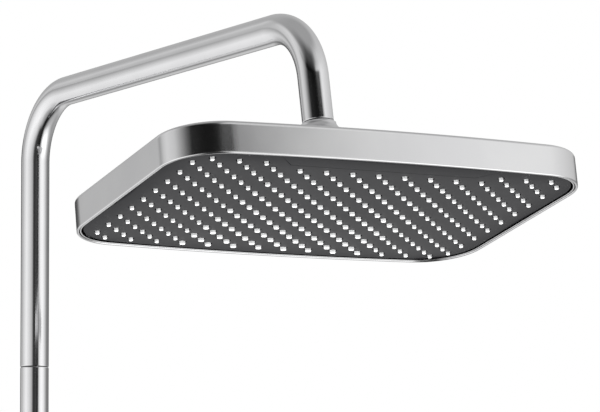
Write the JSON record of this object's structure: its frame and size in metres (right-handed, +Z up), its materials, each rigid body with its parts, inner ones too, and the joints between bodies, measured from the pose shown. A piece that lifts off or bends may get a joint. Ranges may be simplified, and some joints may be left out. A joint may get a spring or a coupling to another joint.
{
  "type": "rainfall shower column",
  "caption": "Wall-mounted shower riser with a swivelling bent arm and a rectangular rain shower head on a ball joint.",
  "frame": {"origin": "centre of the wall plate's back face, on the finished wall", "axes": "+Z up along the riser, +Y into the wall, so the arm reaches along -Y; +X to the right when facing the wall"},
  "size_m": [0.326, 0.5815, 0.829],
  "materials": {
    "pipe_chrome": "satin chrome plate on brass tube",
    "fitting_chrome": "bright chrome plate",
    "case_chrome": "satin chrome plate",
    "spray_face": "fine satin, dark grey",
    "silicone": "translucent pale silicone",
    "black_rubber": "moulded seal rubber",
    "brass": "machined",
    "steel": "stainless",
    "grey_plastic": "moulded"
  },
  "bodies": {
    "column": {"wall_plate": "steel", "wall_cover": "fitting_chrome", "cover_oring": "black_rubber", "bracket_body": "fitting_chrome", "bracket_liner": "grey_plastic", "stem_screw": "steel", "clamp_screw": "steel", "riser_tube": "pipe_chrome", "inlet_tail": "brass", "inlet_washer": "black_rubber", "joint_sleeve": "brass", "joint_orings": "black_rubber", "joint_washer": "grey_plastic"},
    "union_nut": {"inlet_nut": "fitting_chrome"},
    "arm": {"arm_tube": "pipe_chrome", "stop_screw": "steel", "outlet_nipple": "brass", "outlet_washer": "black_rubber", "ball_fitting": "fitting_chrome", "flow_limiter": "grey_plastic", "inlet_screen": "steel"},
    "upper_liner": {"seat_ring": "grey_plastic"},
    "lower_liner": {"ball_seal": "black_rubber"},
    "head": {"ball_socket": "brass", "retaining_nut": "fitting_chrome", "spigot_oring": "black_rubber", "cover_locknut": "brass", "head_case": "case_chrome", "face_bezel": "case_chrome", "spray_plate": "spray_face", "front_tab": "spray_face", "nozzle_mat": "silicone", "chamber_tray": "grey_plastic", "chamber_seal": "black_rubber", "chamber_screws": "steel"}
  },
  "joints": [
    {"name": "inlet_nut_turn", "type": "hinge", "parent": "column", "child": "union_nut", "pos_m": [0, -0.055, -0.474], "axis": [0, 0, 1], "continuous": true},
    {"name": "arm_swivel", "type": "hinge", "parent": "column", "child": "arm", "pos_m": [0, -0.055, 0.12], "axis": [0, 0, 1], "range_deg": [-45, 45]},
    {"name": "head_spin", "type": "hinge", "parent": "arm", "child": "upper_liner", "pos_m": [0, -0.45869, 0.22863], "axis": [0, 0.1719, 0.9851], "continuous": true},
    {"name": "head_tilt_front", "type": "hinge", "parent": "upper_liner", "child": "lower_liner", "pos_m": [0, -0.45869, 0.22863], "axis": [0.9932, -0.1167, 0], "range_deg": [-10, 10]},
    {"name": "head_tilt_side", "type": "hinge", "parent": "lower_liner", "child": "head", "pos_m": [0, -0.45869, 0.22863], "axis": [0.1149, 0.9784, -0.1719], "range_deg": [-10, 10]}
  ]
}
